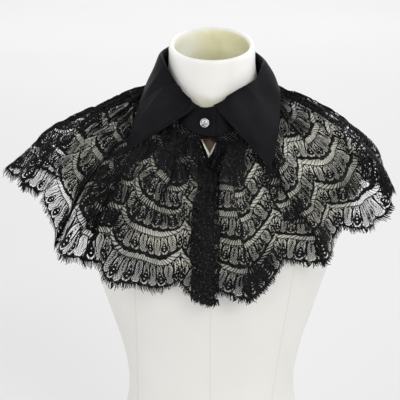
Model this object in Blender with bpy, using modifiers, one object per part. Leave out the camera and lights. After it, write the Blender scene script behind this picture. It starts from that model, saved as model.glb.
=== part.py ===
"""A lace collar on a dress form.

A black cotton shirt collar (stand, pointed fall, one button) carries a gathered cape of scalloped
eyelash lace, and sits on a hollow limbless dress form.

The tables are in millimetres and the scene is in metres. +Z is up, the front faces -Y, and +X is on
the right as seen from the front. Heights in the tables are measured from the centre of the form's
neck rim. A place around the neck is given in turns: 0 is the centre front, 0.25 the side at -X, 0.5
the centre back and 0.75 the side at +X.
"""

import math

import bpy
import numpy as np
from mathutils import Vector

MM = 0.001
OBJECT_NAME = "lace_collar"

# ------------------------------------------------------------------ driving dimensions
RIM_HEIGHT = 600.0  # centre of the form's neck rim above its flat base
PIECE_GAP = 0.3  # between neighbouring pieces at a seam

FORM_WALL = 5.0
FORM_SEGMENTS = 36

LACE_WALL = 1.2
FANS = 15.75  # fans along the whole strip of lace
BACK_SPLIT = 8.5  # fan at which the strip is parted at the centre back
SPLIT_GAP = 0.022  # in fans, which is about 0.5 at the neckline
GATHER_HEIGHT = 0.9  # of the small gathers at the neckline
GATHERS_START = 8.0
GATHERS_END = 75.0  # distance from the neckline at which they have died away
OVERLAP_LIFT = 4.0  # of the front edge that lies over the other one
OVERLAP_STARTS = 18.0
OVERLAP_FULL = 0.036  # turns from the centre front to which the edge is lifted in full
OVERLAP_FADED = 0.085

LASH_GAP = 1.25  # measured down the cloth, so about 0.3 across a slanting hem
LASH_STRIP = 1.5
LASH_LENGTH = 5.0
LASH_WALL = 1.0

STAND_WALL = 1.6
SEAM_LIFT = 1.2  # of the stand's lower edge over the middle of the lace, clear of its wall
FALL_WALL = 1.5
STAND_LAP_LIFT = 2.4  # of the buttoned end over the other end
LAP_FULL = 0.062  # turns from the centre front to which the over end is lifted in full
LAP_FADED = 0.14

BUTTON_DIAMETER = 11.5
BUTTON_THICKNESS = 3.4
BUTTON_SIDES = 24
BUTTON_GAP = 0.45  # behind the button's middle, as the stand under it is rounded
# The button's outline, as shares of its radius and of its thickness, from the dome to the back.
BUTTON_OUTLINE = ((0, 1), (0.42, 0.94), (0.80, 0.70), (1, 0.42), (1, 0.12), (0.93, 0), (0, 0))


def table(names, rows):
    """A short table, as a dictionary of its named columns."""
    return dict(zip(names.split(), np.array(rows, float).T))


# Rings of the form, from the flat base up to the neck rim.
FORM = table(
    "half_width front back z_front z_side z_back bend",
    [
        (148, 100, 114, -600, -600, -600, 2),
        (143, 98, 111, -556, -556, -556, 2),
        (120, 91, 95, -496, -496, -496, 2),
        (101, 84, 80, -438, -438, -438, 2),
        (109, 90, 85, -388, -382, -388, 2),
        (126, 100, 93, -346, -332, -342, 2),
        (140, 107, 100, -322, -288, -311, 2),
        (154, 112, 104, -300, -245, -281, 2),
        (169, 115, 107, -282, -208, -251, 2),
        (182, 116, 110, -264, -174, -222, 2),
        (185, 115, 111, -249, -150, -196, 2),
        (178, 113, 110, -231, -129, -172, 2),
        (159.5, 108.5, 104.5, -201, -109, -141.5, 2),
        (129.5, 97.5, 93, -163, -85.5, -102.5, 2),
        (94.5, 80, 77.5, -126, -69.7, -65.5, 1.9),
        (72, 68.5, 66, -107, -63, -47, 1.7),
        (59.5, 60, 58, -95, -55.5, -37, 1.5),
        (55, 56, 55, -72, -40, -22, 1.2),
        (53, 53, 53, -40, -25, -10, 1),
        (54, 54, 54, -13, 0, 13, 1),
    ],
)

# Rings of the lace, each at its distance down the cloth from the neckline.
CAPE = table(
    "reach left right front back z_front z_left z_right z_back",
    [
        (0, 66, 68, 66, 64, -100, -56, -58, -38),
        (30, 94, 95, 81, 78, -125, -67.5, -67.5, -64),
        (70, 131, 129, 99, 94, -160, -84, -84, -101),
        (110, 166, 161, 111, 106, -196, -105, -107, -139),
        (150, 195, 186, 117, 114, -232, -129, -139, -178),
        (180, 215, 198, 119, 118, -260, -150, -166, -208),
        (205, 232, 205, 121, 121, -283, -167, -189, -233),
        (217, 240, 208, 122, 122, -294, -175, -200, -245),
    ],
)

# Rows of the lace, at a fan's middle, and how much higher the cloth's rows are between two fans.
# A band is the first row of an open ladder band.
LACE_ROWS = table(
    "reach scallop band",
    [
        (0, 0, 0),
        (13, 5, 0),
        (27, 11, 0),
        (41, 16, 1),
        (50, 17, 0),
        (72, 19, 1),
        (81, 20, 0),
        (103, 20, 1),
        (112, 20, 0),
        (134, 21, 1),
        (143, 21, 0),
        (165, 21, 1),
        (174, 21, 0),
        (190, 22, 0),
        (205, 22, 0),
    ],
)
SCALLOP_POWER = 2.3
COLUMNS_IN_FAN = (0, 0.09, 0.27, 0.455, 0.545, 0.73, 0.91)
OPEN_COLUMNS = ((0.09, 0.455), (0.545, 0.91))

# The soft flutes: where each crest is, how far it stands out at the hem, and its half width.
FLUTES = table(
    "turn height half_width",
    [
        (0.007, 13, 0.030),
        (0.052, 8, 0.022),
        (0.100, 20, 0.034),
        (0.153, 32, 0.026),
        (0.200, 27, 0.025),
        (0.241, 22, 0.022),
        (0.277, 20, 0.026),
        (0.326, 22, 0.028),
        (0.380, 17, 0.029),
        (0.434, 21, 0.029),
        (0.492, 16, 0.031),
        (0.551, 20, 0.031),
        (0.610, 16, 0.031),
        (0.669, 21, 0.030),
        (0.727, 18, 0.028),
        (0.776, 22, 0.025),
        (0.826, 20, 0.029),
        (0.884, 24, 0.028),
        (0.930, 6, 0.020),
        (0.967, 17, 0.030),
    ],
)
FLUTE_POWER = 1.35

# How the strip is spread round the neck: a fan's place along the strip, and its place in turns.
SPREAD = table(
    "fan turn",
    [
        (0.00, -0.003),
        (0.50, 0.040),
        (1.50, 0.120),
        (2.50, 0.166),
        (3.50, 0.207),
        (4.50, 0.253),
        (5.50, 0.308),
        (6.50, 0.370),
        (7.50, 0.436),
        (8.50, 0.504),
        (9.50, 0.574),
        (10.50, 0.643),
        (11.50, 0.711),
        (12.50, 0.779),
        (13.50, 0.850),
        (14.50, 0.926),
        (15.50, 1.006),
        (15.75, 1.026),
    ],
)

# The two front edges of the lace: x of each, by distance from the neckline.
FRONT_EDGES = table(
    "reach left_edge right_edge",
    [
        (0, -13, 3),
        (10, -9, 0),
        (22, -3, -7),
        (45, 2, -19),
        (80, 4, -27),
        (217, 4, -30),
    ],
)

# The two rings of the stand's wall.
STAND = table(
    "up left right front back z_front z_left z_right z_back",
    [
        (0, 66, 68, 66, 64, -100, -56, -58, -38),
        (1, 59, 60.5, 61, 58, -70, -17, -21, -8),
    ],
)
STAND_LEFT_END = 4.0  # x of the over end, which starts the stand's strip
STAND_RIGHT_END = -20.0  # x of the under end, which carries the button
STAND_COLUMNS = 44
STAND_ROWS = 3

# The fall: where each of its lines leaves the fold, where it ends on the lace and how far above it,
# how far the line's middle sags down and to the front, and how far it swells out and up.
FALL = table(
    "fold_turn edge_turn edge_reach lift sag swell",
    [
        (0.047, 0.150, 77, 11, 7, 1),
        (0.080, 0.156, 66, 11, 4, 2),
        (0.120, 0.168, 53, 10, 2, 2),
        (0.168, 0.192, 34, 9, 0, 0),
        (0.225, 0.237, 16, 7, 0, 0),
        (0.300, 0.300, 14, 6, 0, 1),
        (0.400, 0.400, 14, 7, 0, 3),
        (0.500, 0.500, 14, 7, 0, 3),
        (0.600, 0.600, 14, 7, 0, 3),
        (0.690, 0.690, 14, 6, 0, 1),
        (0.770, 0.757, 14, 6, 0, 0),
        (0.835, 0.815, 25, 7, 0, -1),
        (0.890, 0.858, 42, 10, 1, 1),
        (0.945, 0.883, 55, 10, 3, 1),
        (0.997, 0.903, 68, 10, 5, 0),
    ],
)
FALL_COLUMNS = 44
FALL_ROWS = 7
SAG_FRONT = 0.55  # shares of the sag that go to the front and down
SAG_DOWN = 0.83
ROLL_UP = 3.2  # height and depth of the rolled fold over the seam
ROLL_OUT = 4.5
ROLL_TOP_OUT = 2.0
ROLL_SHOULDER_UP = 1.3

BUTTON_X = -8.4
BUTTON_UP = 0.5


# ------------------------------------------------------------------ smooth tables and rings
def smooth(x, y, at):
    """Reads y at the places given, on a smooth curve through the rows (x, y)."""
    slope = np.gradient(y, x)
    i = np.clip(np.searchsorted(x, at, "right") - 1, 0, len(x) - 2)
    step = x[i + 1] - x[i]
    u = np.clip((at - x[i]) / step, 0, 1)
    near = (2 * u**3 - 3 * u**2 + 1) * y[i] + (u**3 - 2 * u**2 + u) * step * slope[i]
    far = (3 * u**2 - 2 * u**3) * y[i + 1] + (u**3 - u**2) * step * slope[i + 1]
    return near + far


def fade(u):
    """Rises smoothly from 0 to 1 as u does."""
    u = np.clip(u, 0, 1)
    return u * u * (3 - 2 * u)


def ring(rows, key, at, angle):
    """Points at an angle from the front on the egg-shaped rings of a table, at the places given."""
    read = {name: smooth(rows[key], rows[name], at) for name in rows if name != key}
    s, c = np.sin(angle), np.cos(angle)
    side = np.where(s > 0, read["left"], read["right"])
    depth = np.where(c > 0, read["front"], read["back"])
    z_side = np.where(s > 0, read["z_left"], read["z_right"])
    z_end = np.where(c > 0, read["z_front"], read["z_back"])
    z = z_end + (z_side - z_end) * s * s
    return np.stack([-side * s, -depth * c, z + RIM_HEIGHT], axis=-1)


class Rings:
    """Egg-shaped rings on which a place is given by its share of the way round, in turns."""

    LEVELS = 45
    STEPS = 720

    def __init__(self, rows, key):
        self.rows, self.key = rows, key
        self.low, self.high = rows[key][0], rows[key][-1]
        angles = np.linspace(0, 2 * math.pi, self.STEPS + 1)
        turns = np.linspace(0, 1, self.STEPS + 1)
        self.angles = []
        self.lengths = []
        for at in np.linspace(self.low, self.high, self.LEVELS):
            points = ring(rows, key, np.full_like(angles, at), angles)
            arc = np.r_[0, np.cumsum(np.linalg.norm(np.diff(points, axis=0), axis=1))]
            self.angles.append(np.interp(turns, arc / arc[-1], angles))
            self.lengths.append(arc[-1])
        self.angles = np.array(self.angles)
        self.lengths = np.array(self.lengths)

    def level(self, at):
        return np.clip((at - self.low) / (self.high - self.low), 0, 1) * (self.LEVELS - 1)

    def length(self, at):
        return np.interp(self.level(at), np.arange(self.LEVELS), self.lengths)

    def angle(self, turn, at):
        row = self.level(at)
        i = np.minimum(row.astype(int), self.LEVELS - 2)
        column = (turn % 1.0) * self.STEPS
        j = np.minimum(column.astype(int), self.STEPS - 1)
        u, w = row - i, column - j
        near = self.angles[i, j] * (1 - w) + self.angles[i, j + 1] * w
        far = self.angles[i + 1, j] * (1 - w) + self.angles[i + 1, j + 1] * w
        return near * (1 - u) + far * u

    def point(self, turn, at):
        turn, at = np.broadcast_arrays(np.asarray(turn, float), np.asarray(at, float))
        return ring(self.rows, self.key, at, self.angle(turn, at))

    def outward(self, turn, at):
        """Unit normals, pointing away from the form."""
        around = self.point(turn + 0.002, at) - self.point(turn - 0.002, at)
        size = (self.high - self.low) * 0.01
        down = self.point(turn, at + size) - self.point(turn, at - size)
        normal = np.cross(around, down)
        normal /= np.linalg.norm(normal, axis=-1, keepdims=True)
        return normal * np.sign(normal[..., 2:])


cape = Rings(CAPE, "reach")
stand = Rings(STAND, "up")


# ------------------------------------------------------------------ the lace
def flute(turn, reach):
    """How far the soft flutes stand out from the cape's rings."""
    height = np.zeros(np.broadcast(turn, reach).shape)
    for crest, size, half_width in zip(*FLUTES.values()):
        away = (turn - crest + 0.5) % 1.0 - 0.5
        bump = np.cos(np.clip(away / half_width, -1, 1) * math.pi / 2) ** 2
        height = height + size * bump
    return height * np.clip(reach / CAPE["reach"][-2], 0, 1.1) ** FLUTE_POWER


def turn_of(fan, reach):
    """Turns round the neck of a place given by fans along the strip, between its front edges."""
    left = smooth(FRONT_EDGES["reach"], FRONT_EDGES["left_edge"], reach)
    right = smooth(FRONT_EDGES["reach"], FRONT_EDGES["right_edge"], reach)
    length = cape.length(reach)
    start = -left / length
    end = 1 - right / length
    spread = smooth(SPREAD["fan"], SPREAD["turn"], fan)
    first, last = SPREAD["turn"][0], SPREAD["turn"][-1]
    return start + (end - start) * (spread - first) / (last - first)


def lace_point(fan, reach, gather=0.0):
    """A point in the middle of the lace."""
    fan, reach = np.broadcast_arrays(np.asarray(fan, float), np.asarray(reach, float))
    turn = turn_of(fan, reach)
    fading = fade((OVERLAP_FADED - turn) / (OVERLAP_FADED - OVERLAP_FULL))
    lift = OVERLAP_LIFT * (fan < FANS / 2) * fading
    lift = lift * fade(reach / OVERLAP_STARTS)
    fading = fade(reach / GATHERS_START) * (1 - fade(reach / GATHERS_END))
    out = flute(turn, reach) + lift + gather * GATHER_HEIGHT * fading
    return cape.point(turn, reach) + cape.outward(turn, reach) * out[..., None]


def scallop(fan):
    """1 between two fans and 0 at a fan's middle."""
    return np.abs(2 * ((fan + 0.5) % 1.0) - 1) ** SCALLOP_POWER


def lace_columns(first, last):
    """Places of the lace's columns, in fans, with each fan's own columns and both ends."""
    fans = range(math.floor(first) - 1, math.ceil(last) + 1)
    places = [k - 0.5 + part for k in fans for part in COLUMNS_IN_FAN]
    inside = [place for place in places if first + 1e-6 < place < last - 1e-6]
    return np.array([first, *inside, last])


def is_open(fan):
    part = (fan + 0.5) % 1.0
    return any(low < part < high for low, high in OPEN_COLUMNS)


def lace_grid(first, last):
    fans = lace_columns(first, last)
    gathers = np.where(np.arange(len(fans)) % 2 == 0, 1.0, -1.0)
    gathers[[0, -1]] = 0
    reach = LACE_ROWS["reach"][:, None] - LACE_ROWS["scallop"][:, None] * scallop(fans)
    return fans, lace_point(fans[None, :], reach, gathers[None, :])


def lace_panel(name, first, last, material):
    """Half of the cape, a thin wall whose ladder bands are cut through."""
    fans, points = lace_grid(first, last)
    rows, columns = points.shape[:2]
    faces = []
    for row in range(rows - 1):
        for column in range(columns - 1):
            middle = (fans[column] + fans[column + 1]) / 2
            if LACE_ROWS["band"][row] and is_open(middle):
                continue
            corner = row * columns + column
            faces.append((corner, corner + columns, corner + columns + 1, corner + 1))
    lace = new_mesh(name, points.reshape(-1, 3), faces, material)
    thicken(lace, LACE_WALL, 0)
    return lace


def lash_edge(name, first, last, material):
    """The eyelash edge: a narrow strip along the hem, with its lashes."""
    fans = lace_columns(first, last)
    hem = LACE_ROWS["reach"][-1] - LACE_ROWS["scallop"][-1] * scallop(fans) + LASH_GAP
    top = lace_point(fans, hem)
    root = lace_point(fans, hem + LASH_STRIP)
    tip = lace_point(fans, hem + LASH_STRIP + LASH_LENGTH)
    points, faces = [], []
    for k in range(len(fans)):
        points += [top[k], root[k]]
    for k in range(len(fans) - 1):
        a, b, c, d = 2 * k, 2 * k + 1, 2 * k + 3, 2 * k + 2
        first_new = len(points)
        points.append((root[k] + root[k + 1]) / 2)
        points += [tip[k] * (1 - w) + tip[k + 1] * w for w in (0.25, 0.75)]
        faces.append((a, b, first_new, c, d))
        faces.append((b, first_new + 1, first_new))
        faces.append((first_new, first_new + 2, c))
    edge = new_mesh(name, np.array(points), faces, material)
    thicken(edge, LASH_WALL, 0)
    return edge


# ------------------------------------------------------------------ the cotton collar
def stand_points(turns, ups):
    lift = STAND_LAP_LIFT * fade((LAP_FADED - turns) / (LAP_FADED - LAP_FULL))
    points = stand.point(turns, ups)
    out = points * (1, 1, 0) / np.linalg.norm(points[..., :2], axis=-1, keepdims=True)
    return points + out * lift[..., None]


def collar_stand(material):
    """The upright band round the neck, whose ends lap at the centre front."""
    ups = np.linspace(0, 1, STAND_ROWS + 1)[:, None]
    length = stand.length(ups)
    start, end = -STAND_LEFT_END / length, 1 - STAND_RIGHT_END / length
    turns = start + (end - start) * np.linspace(0, 1, STAND_COLUMNS + 1)
    points = stand_points(turns, ups + 0 * turns)
    points[..., 2] += SEAM_LIFT * (1 - ups)
    band = new_grid("collar_stand", points, material)
    thicken(band, STAND_WALL, 0)
    return band


def collar_fall(material):
    """The folded-down collar, with its two points."""
    along = np.linspace(0, 1, FALL_COLUMNS + 1)
    rows = np.linspace(0, 1, len(FALL["lift"]))
    line = {name: smooth(rows, FALL[name], along)[:, None] for name in FALL}
    fold_turn = line["fold_turn"][:, 0]
    seam = stand_points(fold_turn, np.ones_like(fold_turn))
    seam[:, 2] += STAND_WALL / 2 + PIECE_GAP
    out = seam * (1, 1, 0) / np.linalg.norm(seam[:, :2], axis=1, keepdims=True)
    ridge = seam + (0, 0, ROLL_UP) + out * ROLL_TOP_OUT
    shoulder = seam + (0, 0, ROLL_SHOULDER_UP) + out * ROLL_OUT
    place = line["edge_turn"][:, 0], line["edge_reach"][:, 0]
    edge = cape.point(*place) + cape.outward(*place) * line["lift"]
    to_front = np.cross(out, (0, 0, 1)) * np.sign(fold_turn - 0.5)[:, None]
    bow = line["sag"] * (to_front * SAG_FRONT - (0, 0, SAG_DOWN))
    bow = bow + line["swell"] * (out + (0, 0, 1))
    lines = [seam, ridge]
    for u in np.linspace(0, 1, FALL_ROWS):
        lines.append(shoulder * (1 - u) + edge * u + bow * 4 * u * (1 - u))
    fall = new_grid("collar_fall", np.array(lines), material)
    thicken(fall, FALL_WALL, 0)
    return fall


def button(material):
    """A round domed button on the stand's lap, turned about its own axis."""
    mesh = bpy.data.meshes.new("button")
    size = BUTTON_DIAMETER / 2 * MM, BUTTON_THICKNESS * MM
    points = [(x * size[0], 0, z * size[1]) for x, z in BUTTON_OUTLINE]
    mesh.from_pydata(points, [(k, k + 1) for k in range(len(points) - 1)], [])
    piece = bpy.data.objects.new("button", mesh)
    parts.objects.link(piece)
    screw = piece.modifiers.new("turn", "SCREW")
    screw.steps = screw.render_steps = BUTTON_SIDES
    screw.use_merge_vertices = True
    screw.merge_threshold = 0.00001
    mesh.materials.append(material)
    turn = -BUTTON_X / stand.length(BUTTON_UP)
    step = BUTTON_DIAMETER / 2 / stand.length(BUTTON_UP)
    turns = np.array([turn, turn - step, turn + step, turn, turn])
    ups = np.array([BUTTON_UP, BUTTON_UP, BUTTON_UP, 0, 1])
    middle, before, after, low, high = stand_points(turns, ups)
    facing = np.cross(before - after, high - low)
    facing /= np.linalg.norm(facing)
    place = middle + facing * (STAND_WALL / 2 + BUTTON_GAP)
    piece.location = Vector(place * MM)
    piece.rotation_mode = "QUATERNION"
    piece.rotation_quaternion = Vector(facing).to_track_quat("Z", "Y")
    return piece


# ------------------------------------------------------------------ the dress form
def dress_form(material):
    """The hollow form: a wall round its rings, a flat bottom and an open neck."""
    angles = np.linspace(0, 2 * math.pi, FORM_SEGMENTS, endpoint=False)
    s, c = np.sin(angles), np.cos(angles)
    points, faces = [], []
    for half_width, front, back, z_front, z_side, z_back, bend in zip(*FORM.values()):
        depth = np.where(c > 0, front, back)
        z_end = np.where(c > 0, z_front, z_back)
        z = z_side + (z_end - z_side) * np.abs(c) ** bend + RIM_HEIGHT
        points += list(np.stack([-half_width * s, -depth * c, z], axis=1))
    for row in range(len(FORM["front"]) - 1):
        for k in range(FORM_SEGMENTS):
            a, b = row * FORM_SEGMENTS + k, row * FORM_SEGMENTS + (k + 1) % FORM_SEGMENTS
            faces.append((b, a, a + FORM_SEGMENTS, b + FORM_SEGMENTS))
    faces.append(tuple(range(FORM_SEGMENTS)))
    form = new_mesh("dress_form", np.array(points), faces, material)
    thicken(form, FORM_WALL, -1)
    return form


# ------------------------------------------------------------------ scene helpers
def clear_scene():
    for thing in list(bpy.data.objects):
        bpy.data.objects.remove(thing, do_unlink=True)


def finish(name, colour, roughness):
    material = bpy.data.materials.new(name)
    material.use_nodes = True
    shader = material.node_tree.nodes["Principled BSDF"]
    shader.inputs["Base Color"].default_value = (*colour, 1)
    shader.inputs["Roughness"].default_value = roughness
    shader.inputs["Metallic"].default_value = 0.0
    return material


def new_mesh(name, points, faces, material):
    mesh = bpy.data.meshes.new(name)
    mesh.from_pydata([tuple(point * MM) for point in points], [], faces)
    mesh.materials.append(material)
    mesh.shade_smooth()
    piece = bpy.data.objects.new(name, mesh)
    parts.objects.link(piece)
    return piece


def new_grid(name, points, material):
    rows, columns = points.shape[:2]
    faces = [
        (i * columns + j, (i + 1) * columns + j, (i + 1) * columns + j + 1, i * columns + j + 1)
        for i in range(rows - 1)
        for j in range(columns - 1)
    ]
    return new_mesh(name, points.reshape(-1, 3), faces, material)


def thicken(piece, wall, offset):
    solidify = piece.modifiers.new("wall", "SOLIDIFY")
    solidify.thickness = wall * MM
    solidify.offset = offset
    solidify.use_even_offset = True


clear_scene()
parts = bpy.data.collections.new(OBJECT_NAME)
bpy.context.scene.collection.children.link(parts)

lace_black = finish("black_lace", (0.012, 0.012, 0.014), 0.8)
cotton = finish("black_cotton", (0.02, 0.02, 0.024), 0.75)
form_skin = finish("cream_form", (0.8, 0.78, 0.7), 0.5)
crystal = finish("clear_button", (0.8, 0.82, 0.84), 0.15)

dress_form(form_skin)
lace_panel("lace_left", 0, BACK_SPLIT - SPLIT_GAP / 2, lace_black)
lace_panel("lace_right", BACK_SPLIT + SPLIT_GAP / 2, FANS, lace_black)
lash_edge("eyelash_left", 0, BACK_SPLIT - SPLIT_GAP / 2, lace_black)
lash_edge("eyelash_right", BACK_SPLIT + SPLIT_GAP / 2, FANS, lace_black)
collar_stand(cotton)
collar_fall(cotton)
button(crystal)
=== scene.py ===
"""The looks of a lace collar on a dress form.

Lengths in the tables are in millimetres, and the scene is in metres. +Z is up, the front faces -Y, and
+X is on the right as seen from the front. A place around the neck is given in turns: 0 is the centre
front, 0.25 the side at -X, 0.5 the centre back and 0.75 the side at +X.
"""

import math

import bmesh
import bpy
import numpy as np
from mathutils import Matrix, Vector
from mathutils.geometry import delaunay_2d_cdt


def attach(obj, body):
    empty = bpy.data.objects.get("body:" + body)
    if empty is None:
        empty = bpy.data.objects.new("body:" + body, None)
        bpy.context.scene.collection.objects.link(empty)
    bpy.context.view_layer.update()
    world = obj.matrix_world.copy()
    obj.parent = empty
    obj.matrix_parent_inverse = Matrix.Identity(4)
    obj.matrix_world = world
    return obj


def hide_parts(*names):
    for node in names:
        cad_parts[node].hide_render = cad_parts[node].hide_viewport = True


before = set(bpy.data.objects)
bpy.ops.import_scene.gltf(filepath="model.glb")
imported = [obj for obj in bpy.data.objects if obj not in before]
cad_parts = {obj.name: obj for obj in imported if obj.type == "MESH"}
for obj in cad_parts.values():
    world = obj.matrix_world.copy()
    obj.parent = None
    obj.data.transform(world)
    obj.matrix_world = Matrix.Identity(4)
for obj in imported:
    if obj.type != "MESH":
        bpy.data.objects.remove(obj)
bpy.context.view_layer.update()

MM = 0.001
RIM_HEIGHT = 600.0
rng = np.random.default_rng(11)


def table(names, *rows):
    """A short table, as a dictionary of its named columns."""
    return dict(zip(names.split(), np.array(rows, float).T))


def unit(vectors):
    """Vectors of length 1 in the same directions."""
    return vectors / np.linalg.norm(vectors, axis=-1, keepdims=True)


def rows_of(columns):
    """The rows of a table, one after another."""
    return zip(*columns.values())


# ---- sizes of the construction
FORM_WALL = 5.0

# The form's rings from the base up. Their heights, like those of the other rings, are from the rim.
FORM = table(
    "half_width front back z_front z_side z_back bend",
    (148, 100, 114, -600, -600, -600, 2), (143, 98, 111, -556, -556, -556, 2),
    (120, 91, 95, -496, -496, -496, 2), (101, 84, 80, -438, -438, -438, 2),
    (109, 90, 85, -388, -382, -388, 2), (126, 100, 93, -346, -332, -342, 2),
    (140, 107, 100, -322, -288, -311, 2), (154, 112, 104, -300, -245, -281, 2),
    (169, 115, 107, -282, -208, -251, 2), (182, 116, 110, -264, -174, -222, 2),
    (185, 115, 111, -249, -150, -196, 2), (178, 113, 110, -231, -129, -172, 2),
    (159.5, 108.5, 104.5, -201, -109, -141.5, 2), (129.5, 97.5, 93, -163, -85.5, -102.5, 2),
    (94.5, 80, 77.5, -126, -69.7, -65.5, 1.9), (72, 68.5, 66, -107, -63, -47, 1.7),
    (59.5, 60, 58, -95, -55.5, -37, 1.5), (55, 56, 55, -72, -40, -22, 1.2), (53, 53, 53, -40, -25, -10, 1),
    (54, 54, 54, -13, 0, 13, 1),
)

# The rings that the lace lies on, by the distance from the neckline.
CAPE = table(
    "reach left right front back z_front z_left z_right z_back",
    (0, 66, 68, 66, 64, -100, -56, -58, -38), (30, 94, 95, 81, 78, -125, -67.5, -67.5, -64),
    (70, 131, 129, 99, 94, -160, -84, -84, -101), (110, 166, 161, 111, 106, -196, -105, -107, -139),
    (150, 195, 186, 117, 114, -232, -129, -139, -178), (180, 215, 198, 119, 118, -260, -150, -166, -208),
    (205, 232, 205, 121, 121, -283, -167, -189, -233), (217, 240, 208, 122, 122, -294, -175, -200, -245),
    (240, 255, 214, 124, 124, -316, -191, -221, -268),
)

# How much higher a row of the pattern lies between two fans than at a fan's middle.
LACE_ROWS = table(
    "reach scallop",
    (0, 0), (13, 5), (27, 11), (41, 16), (50, 17), (72, 19), (103, 20), (134, 21), (205, 22), (217, 22),
)
SCALLOP_POWER = 2.3
FANS = 15.75
LACE_DEPTH = 205.0  # from the neckline to the hem at a fan's middle

# The flutes: the turn at the crest of each, its height at the hem and its half width in turns.
FLUTES = table(
    "turn height half_width",
    (0.007, 13, 0.03), (0.052, 8, 0.022), (0.1, 20, 0.034), (0.153, 32, 0.026), (0.2, 27, 0.025),
    (0.241, 22, 0.022), (0.277, 20, 0.026), (0.326, 22, 0.028), (0.38, 17, 0.029), (0.434, 21, 0.029),
    (0.492, 16, 0.031), (0.551, 20, 0.031), (0.61, 16, 0.031), (0.669, 21, 0.03), (0.727, 18, 0.028),
    (0.776, 22, 0.025), (0.826, 20, 0.029), (0.884, 24, 0.028), (0.93, 6, 0.02), (0.967, 17, 0.03),
)
FLUTE_POWER = 1.35

# The turn at which each place of the strip lies, and how far its front edges are from the middle.
SPREAD = table(
    "fan turn",
    (0, -0.003), (0.5, 0.04), (1.5, 0.12), (2.5, 0.166), (3.5, 0.207), (4.5, 0.253), (5.5, 0.308),
    (6.5, 0.37), (7.5, 0.436), (8.5, 0.504), (9.5, 0.574), (10.5, 0.643), (11.5, 0.711), (12.5, 0.779),
    (13.5, 0.85), (14.5, 0.926), (15.5, 1.006), (15.75, 1.026),
)
FRONT_EDGES = table(
    "reach left_edge right_edge",
    (0, -3, -4), (4, -6, -1), (9, -12.5, 4), (15, -10.5, 2), (22, -7.5, -1), (29, -4, -4.5), (38, 0, -9),
    (50, 5, -15), (80, 8, -22), (217, 8, -25),
)
OVERLAP_LIFT = 4.0
OVERLAP_STARTS = 18.0
OVERLAP_FULL = 0.036
OVERLAP_FADED = 0.085

# The rings of the collar's stand, from the neck seam up to the fold.
STAND = table(
    "up left right front back z_front z_left z_right z_back",
    (0, 66, 68, 66, 64, -100, -56, -58, -38), (1, 59, 60.5, 61, 58, -70, -17, -21, -8),
)

# How far the stand's upper edge, and the fold over it, rise above that ring.
STAND_RISE = table(
    "turn rise",
    (0, 4.2), (0.037, 0.5), (0.06, 0), (0.56, 0), (0.68, -4), (0.75, -5.5), (0.822, -6.5), (0.876, 1.5),
    (0.919, 7), (0.956, 8), (0.99, 5.5), (1, 4.2),
)
STAND_LEFT_END = 4.0
STAND_RIGHT_END = -20.0
STAND_WALL = 1.6
STAND_LAP_LIFT = 2.4
LAP_FULL = 0.062
LAP_FADED = 0.14
SEAM_LIFT = -0.8
PIECE_GAP = 0.3

# Places along the fall: where its fold and its edge lie, and how far the edge lifts off the cape's
# rings, how far the cloth between them sags and how far it swells.
FALL = table(
    "fold_turn edge_turn edge_reach lift sag swell",
    (0.037, 0.15, 77, 11, 7, 1), (0.074, 0.156, 66, 11, 4, 2), (0.12, 0.168, 53, 10, 2, 2),
    (0.168, 0.192, 34, 9, 0, 0), (0.225, 0.237, 16, 7, 0, 0), (0.3, 0.3, 14, 6, 0, 1),
    (0.4, 0.4, 14, 7, 0, 3), (0.5, 0.5, 14, 7, 0, 3), (0.6, 0.6, 14, 7, 0, 3), (0.69, 0.69, 14, 6, 0, 1),
    (0.77, 0.757, 14, 6, 0, 0), (0.835, 0.815, 25, 7, 0, -1), (0.89, 0.858, 42, 10, 1, 1),
    (0.945, 0.883, 55, 10, 3, 1), (0.997, 0.903, 68, 10, 5, 0),
)
FALL_WALL = 1.4
FALL_ROWS = 7
SAG_FRONT = 0.55
SAG_DOWN = 0.83
ROLL_UP = 3.2
ROLL_OUT = 4.5
ROLL_TOP_OUT = 2.0
ROLL_SHOULDER_UP = 1.3
ROLL_TAPER = 0.06  # of the fall's length, over which the roll begins at each front corner
CORNER_OUT = 1.6
BUTTON_RADIUS = 5.4625
BUTTON_THICKNESS = 3.4
BUTTON_GAP = 0.45
BUTTON_X = -8.4
BUTTON_UP = 0.46  # as a share of the stand's height

# ---- sizes of the lacework
FAN_WIDTH = 91.0  # of the flat lace, from one cusp to the next
HALF_FAN = FAN_WIDTH / 2
TURNING = 0.30  # of a fan, folded under twice along each front edge
TURNING_GAP = 0.55

# The tiers of fans: the open ladder band above each and its thread, where it starts and where it ends,
# how far its petals lean away from the fan's middle, and the pitch of its net.
TIERS = table(
    "ladder thread top bottom lean net_pitch",
    (0, 0, 13, 42, 6, 1.3), (6, 0.75, 48, 73, 8, 1.45), (6, 0.65, 79, 104, 8, 1.65),
    (6, 0.6, 110, 135, 8, 1.75), (6, 0.6, 141, 166, 8, 1.75), (6, 0.6, 172, 205, 10, 1.75),
)
LEAN_POWER = 1.6

# The petals of half a fan: the middle of each, its half width, and that of the teardrop in it.
PETALS = table(
    "x half_width teardrop",
    (0, 4.4, 0), (8.7, 4, 3.1), (17.2, 4.2, 0), (25.7, 4.1, 3.2), (34.2, 4.2, 0), (42.2, 3.3, 2.4),
)
# The outlines of a petal and of a teardrop, as shares of their length and half width.
PETAL = table("share width", (0, 0.62), (0.3, 0.84), (0.6, 1), (0.82, 0.92), (0.93, 0.62), (1, 0))
TEARDROP = table("share width", (0, 0.25), (0.3, 0.66), (0.62, 1), (0.82, 0.88), (0.94, 0.52), (1, 0))
PETAL_TOP = 1.6  # below the top of its tier
NEXT_PETAL = HALF_FAN + 3.3  # the middle of the nearest petal of the next fan
NEXT_HALF_WIDTH = 3.2
EYELET = 0.85  # the radius of a hole in a teardrop
CLOTH_PITCH = 3.4  # between the points that fill a teardrop

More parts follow.
